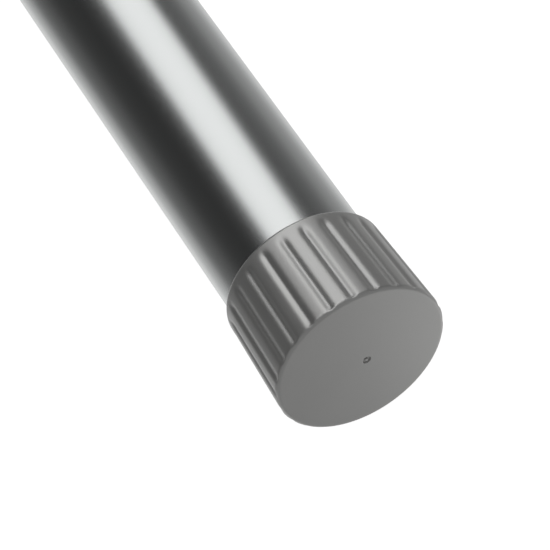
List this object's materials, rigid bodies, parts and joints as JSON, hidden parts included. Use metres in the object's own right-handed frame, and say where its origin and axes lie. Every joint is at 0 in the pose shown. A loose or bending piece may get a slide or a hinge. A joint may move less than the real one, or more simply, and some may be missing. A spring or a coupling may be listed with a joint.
{
  "type": "adjustable door security bar",
  "caption": "Telescoping steel door security bar with a ribbed rubber foot, a snap-button length lock and a padded tilting fork for the knob.",
  "frame": {"origin": "centre of the rubber foot's flat bearing face", "axes": "+X along the bar from the foot towards the fork, +Z out of the adjustment holes, +Y to the left seen from the foot; the bar lies on its side and the fork lies flat"},
  "size_m": [0.791, 0.09, 0.0442],
  "materials": {
    "satin_tube": "satin metallic coat",
    "inner_satin_tube": "satin",
    "foot_rubber": "satin grey, smooth moulded",
    "moulded_grey": "satin grey, fine grain",
    "bush_acetal": "natural acetal",
    "pad_rubber": "matte black",
    "zinc_steel": "bright zinc plate",
    "spring_steel": "tempered, oiled",
    "sintered_bronze": "dull"
  },
  "bodies": {
    "outer": {"foot_ferrule": "foot_rubber", "ferrule_washer": "zinc_steel", "outer_tube": "satin_tube", "mouth_bush": "bush_acetal", "mouth_collar": "moulded_grey", "collar_screws": "zinc_steel"},
    "inner": {"inner_tube": "inner_satin_tube", "slider_bush": "bush_acetal", "bush_pins": "zinc_steel", "snap_spring": "spring_steel", "yoke_socket": "moulded_grey", "socket_bolt": "zinc_steel", "socket_nut": "zinc_steel", "pivot_bolt": "zinc_steel", "pivot_nut": "zinc_steel", "pivot_washers": "zinc_steel", "friction_washers": "bush_acetal"},
    "button": {"snap_button": "zinc_steel"},
    "yoke": {"yoke_fork": "moulded_grey", "pivot_sleeve": "sintered_bronze", "throat_pad": "pad_rubber", "yoke_pad_left": "pad_rubber", "yoke_pad_right": "pad_rubber"}
  },
  "joints": [
    {"name": "telescope", "type": "slide", "parent": "outer", "child": "inner", "axis": [1, 0, 0], "range_m": [-0.03, 0.33]},
    {"name": "button_press", "type": "slide", "parent": "inner", "child": "button", "axis": [0, 0, -1], "range_m": [0, 0.0045], "stiffness_N_per_m": 1500, "deforming": ["snap_spring"]},
    {"name": "yoke_tilt", "type": "hinge", "parent": "inner", "child": "yoke", "pos_m": [0.686, 0, 0], "axis": [0, 1, 0], "range_deg": [-45, 45]}
  ]
}
